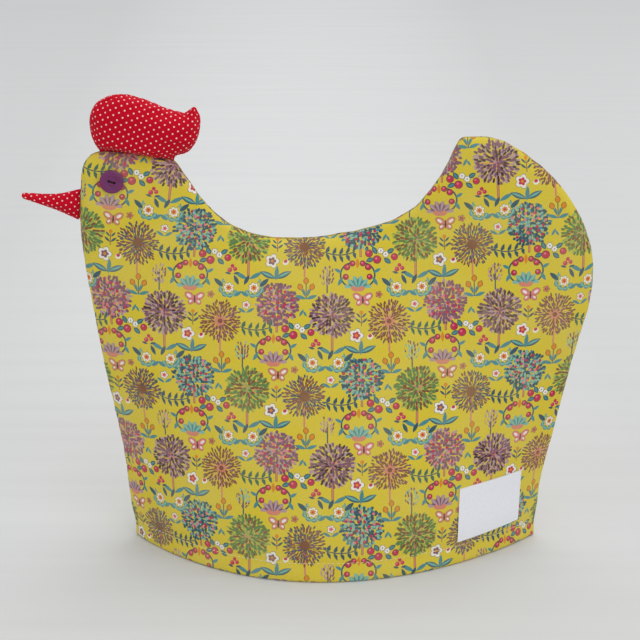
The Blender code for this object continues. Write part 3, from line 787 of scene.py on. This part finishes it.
def sharpen_seam(piece, way_in):
    """Keeps the seam of a stuffed piece, in the plane y = 0, and its corners when it is made finer, and
    moves its open end in, into the panels' seam."""
    tree = BVHTree.FromObject(PANELS[-1.0], bpy.context.evaluated_depsgraph_get())
    bm = bmesh.new()
    bm.from_mesh(piece.data)
    firm = bm.edges.layers.float.get("crease_edge") or bm.edges.layers.float.new("crease_edge")
    held = bm.verts.layers.float.get("crease_vert") or bm.verts.layers.float.new("crease_vert")
    seam = [e for e in bm.edges if all(abs(v.co.y) < ON_SEAM for v in e.verts)]
    root = {v for e in seam for v in e.verts if tree.find_nearest(v.co)[3] < ROOT_NEAR}
    for edge in seam:
        edge[firm] = 1.0 if root.issuperset(edge.verts) else SEAM_FIRMNESS
    for v in root:
        v.co += Vector(way_in)
    for v in {v for e in seam for v in e.verts}:
        ways = [e.other_vert(v).co - v.co for e in v.link_edges if e in seam]
        if len(ways) == 2 and ways[0].angle(-ways[1]) > SEAM_CORNER:
            v[held] = 1.0
    bm.to_mesh(piece.data)
    bm.free()


STUFFING_FRAMES = 20


def stuff(piece, pressure, cap):
    """Blows the cloth out between its seams, as stuffing does, by no more than the cap."""
    before = points_of(piece)
    seam = piece.vertex_groups.new(name="seam")
    seam.add([int(i) for i in np.flatnonzero(np.abs(before[:, 1]) < 0.0001)], 1.0, "REPLACE")
    alone(piece)
    filling = piece.modifiers.new("filling", "CLOTH")
    cloth = filling.settings
    cloth.vertex_group_mass = "seam"
    cloth.mass = 0.15
    cloth.use_pressure = True
    cloth.uniform_pressure_force = pressure
    cloth.effector_weights.gravity = 0.0
    cloth.shrink_min = -0.05
    for frame_number in range(1, STUFFING_FRAMES + 1):
        bpy.context.scene.frame_set(frame_number)
    bpy.ops.object.modifier_apply(modifier=filling.name)
    bpy.context.scene.frame_set(1)
    moved = points_of(piece) - before
    far = np.linalg.norm(moved, axis=1, keepdims=True)
    moved *= np.minimum(1.0, cap / np.maximum(far, 1e-9))
    piece.data.vertices.foreach_set("co", (before + moved).ravel())
    piece.vertex_groups.clear()


SPOTTED = spotted_cotton()
for node, way_in, pressure, cap in (
    ("comb", (0.0, 0.0, -0.0014), 3.0, 0.0008),
    ("beak", (0.0014, 0.0, 0.0), 2.0, 0.0004),
):
    stuffed = cloth_from(node, node + "_cloth")
    sharpen_seam(stuffed, way_in)
    unroll(stuffed)
    finer(stuffed, 2)
    stuff(stuffed, pressure, cap)
    finer(stuffed, 1)
    stuffed.data.materials.append(SPOTTED.material)
    stuffed.data.shade_smooth()
    stuffed.data.set_sharp_from_angle(angle=math.radians(60))
    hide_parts(node)
    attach(stuffed, "root")

# The eyes are shiny purple plastic buttons with two holes, sewn on with black thread that crosses the well
# from hole to hole.
EYE_X, EYE_Z = -0.1194, 0.2395
HOLE_OFFSET, HOLE_TURN = 0.0017, math.radians(17.0)
STRAND_RADIUS = 0.00025
# each strand's points: the share of the way from the middle to the hole's middle, and the depth
STRAND_PATH = (
    (-1.0, 0.0019),
    (-1.0, 0.0008),
    (-0.82, 0.0001),
    (0.0, 0.0),
    (0.82, 0.0001),
    (1.0, 0.0008),
    (1.0, 0.0019),
)


def button_plastic():
    """Purple plastic with faint lighter streaks."""
    made = Finish("purple plastic", Coat_Weight=0.15, Coat_Roughness=0.25, Specular_IOR_Level=0.35)
    place = made.space()
    streaks = made.noise(place.vector("MULTIPLY", (90.0, 90.0, 260.0)), 3.0)
    purple = made.mix(streaks, paint(86, 22, 70), paint(126, 46, 108))
    made.feed(Base_Color=purple, Roughness=streaks * 0.2 + 0.3)
    return made


def black_thread():
    """Black sewing thread, its twist seen as faint flecks."""
    made = Finish("black thread", Specular_IOR_Level=0.3)
    place = made.space()
    twist = made.noise(place.vector("MULTIPLY", (4000.0, 4000.0, 4000.0)))
    made.feed(Base_Color=made.mix(twist, paint(10, 8, 12), paint(40, 34, 42)), Roughness=twist * 0.2 + 0.6)
    return made


PLASTIC, BLACK = button_plastic(), black_thread()
for node, side, name in (
    ("eye_button_front", -1.0, "eye_thread_front"),
    ("eye_button_back", 1.0, "eye_thread_back"),
):
    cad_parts[node].data.materials[0] = PLASTIC.material
    low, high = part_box(node)
    face = low[1] if side < 0 else high[1]
    strands = bpy.data.curves.new(name, "CURVE")
    strands.dimensions = "3D"
    strands.bevel_depth = STRAND_RADIUS
    strands.bevel_resolution = 3
    for lane in (-1, 1):
        strand = strands.splines.new("NURBS")
        path = []
        for along, sink in STRAND_PATH:
            x = along * HOLE_OFFSET * math.cos(HOLE_TURN) + lane * STRAND_RADIUS * math.sin(HOLE_TURN)
            z = -along * HOLE_OFFSET * math.sin(HOLE_TURN) + lane * STRAND_RADIUS * math.cos(HOLE_TURN)
            path.append((EYE_X + x, face - side * sink, EYE_Z + z, 1.0))
        strand.points.add(len(path) - 1)
        for point, place in zip(strand.points, path):
            point.co = place
        strand.order_u = 4
        strand.use_endpoint_u = True
        strand.resolution_u = 5
    strands.use_fill_caps = True
    thread = bpy.data.objects.new(name, strands)
    bpy.context.collection.objects.link(thread)
    alone(thread)
    bpy.ops.object.convert(target="MESH")
    thread = bpy.context.object
    thread.data.materials.clear()
    thread.data.materials.append(BLACK.material)
    thread.data.shade_smooth()
    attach(thread, "root")

# The patch is a plain piece of white woven ribbon with its ends turned in. It lies on the front panel near
# the hem, at the tail's end, and is sewn on along its edge.


def white_ribbon():
    """Close white weave with a faint rib along the ribbon."""
    made = Finish("white ribbon", Roughness=0.7, Sheen_Weight=0.1, Specular_IOR_Level=0.3)
    place = made.space()
    weave = made.weave(place, (2400.0, 2400.0, 700.0), (600.0, 600.0, 2600.0))
    made.feed(Base_Color=made.mix(weave * 0.5, paint(222, 222, 228), paint(246, 246, 250)))
    made.bump(weave, 0.0001)
    return made


RIBBON = white_ribbon()
label = cloth_from("label_patch", "label_ribbon")
hold_corners(label)
finer(label, 2)
label.data.materials.append(RIBBON.material)
label.data.shade_smooth()
label.data.set_sharp_from_angle(angle=math.radians(45))
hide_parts("label_patch")
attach(label, "root")

# The floor is a plain pale board with a faint grain, painted white. Painted shade makes it a little darker
# to both sides, as the light there falls off in the photograph.
BRIGHTEST_X, PAINTED_SHADE_RISE, PAINTED_SHADE_MOST = -0.03, 6.0, 0.42
bpy.ops.object.select_all(action="DESELECT")
bpy.ops.mesh.primitive_plane_add(size=8.0, location=(0.0, 2.0, 0.0))
floor = bpy.context.object
floor.name = "floor"
BOARD = Finish("pale board", Roughness=0.8, Specular_IOR_Level=0.2)
spread = BOARD.space()
drift = BOARD.noise(spread.vector("MULTIPLY", (3.0, 60.0, 1.0)), 3.0)
board = BOARD.mix(drift, paint(208, 208, 207), paint(217, 217, 216))
# painted shade: the board's colour darkens with distance to either side of its brightest line, up to a cap
sideways = spread.dot((1.0, 0.0, 0.0)) - BRIGHTEST_X
painted_side_shade = (sideways * sideways * PAINTED_SHADE_RISE).math("MINIMUM", PAINTED_SHADE_MOST)
BOARD.feed(Base_Color=BOARD.mix(painted_side_shade, board, paint(188, 188, 187)))
floor.data.materials.append(BOARD.material)

# The light is soft studio light: pale daylight from all round, a wide window high up behind the hen, and a
# pale screen high up in front that throws some of it back.
sky = bpy.data.worlds.new("soft daylight")
bpy.context.scene.world = sky
sky.use_nodes = True
sky.node_tree.nodes["Background"].inputs["Color"].default_value = (0.96, 0.98, 1.0, 1.0)
sky.node_tree.nodes["Background"].inputs["Strength"].default_value = 0.85
bpy.ops.object.light_add(type="AREA", location=(0.55, 0.8, 2.0))
window = bpy.context.object
window.rotation_euler = (Vector((0.0, 0.2, 0.1)) - window.location).to_track_quat("-Z", "Y").to_euler()
window.data.shape = "RECTANGLE"
window.data.size, window.data.size_y = 2.0, 1.6
window.data.energy = 14.0
bpy.ops.object.light_add(type="AREA", location=(0.8, -1.3, 1.5))
bounce = bpy.context.object
bounce.rotation_euler = (Vector((0.0, 0.0, 0.14)) - bounce.location).to_track_quat("-Z", "Y").to_euler()
bounce.data.shape = "RECTANGLE"
bounce.data.size, bounce.data.size_y = 1.6, 1.2
bounce.data.energy = 5.6
bpy.context.scene.view_settings.view_transform = "Standard"
